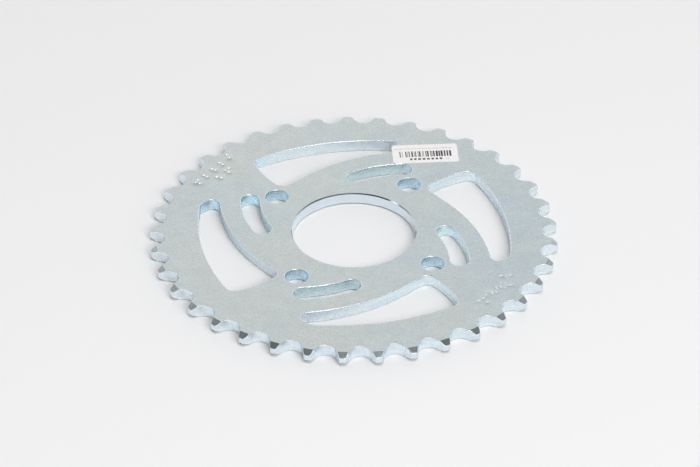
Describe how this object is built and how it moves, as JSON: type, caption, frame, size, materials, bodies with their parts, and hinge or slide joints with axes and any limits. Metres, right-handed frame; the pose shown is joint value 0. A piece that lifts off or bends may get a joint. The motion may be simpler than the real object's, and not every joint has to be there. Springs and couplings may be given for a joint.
{
  "type": "rear sprocket",
  "caption": "Flat toothed steel chain sprocket with a centre bore, a ring of bolt holes, swirl windows, short curved slots and a paper sticker on one face.",
  "frame": {"origin": "on the bore axis at mid thickness, which is the chain line", "axes": "+Z along the bore axis towards the face with the sticker; +X through the middle of one tooth gap, with the bolt holes at 45 degrees to X and Y"},
  "size_m": [0.1911, 0.1912, 0.0061],
  "materials": {
    "zinc_plated_steel": "bright zinc plating with a faint blue passivate, satin and slightly grainy on the faces, glossier on the cut walls",
    "sticker_paper": "matt white paper with printed black bars and grey dashes"
  },
  "bodies": {
    "root": {"sprocket_plate": "zinc_plated_steel", "barcode_label": "sticker_paper"}
  },
  "joints": []
}
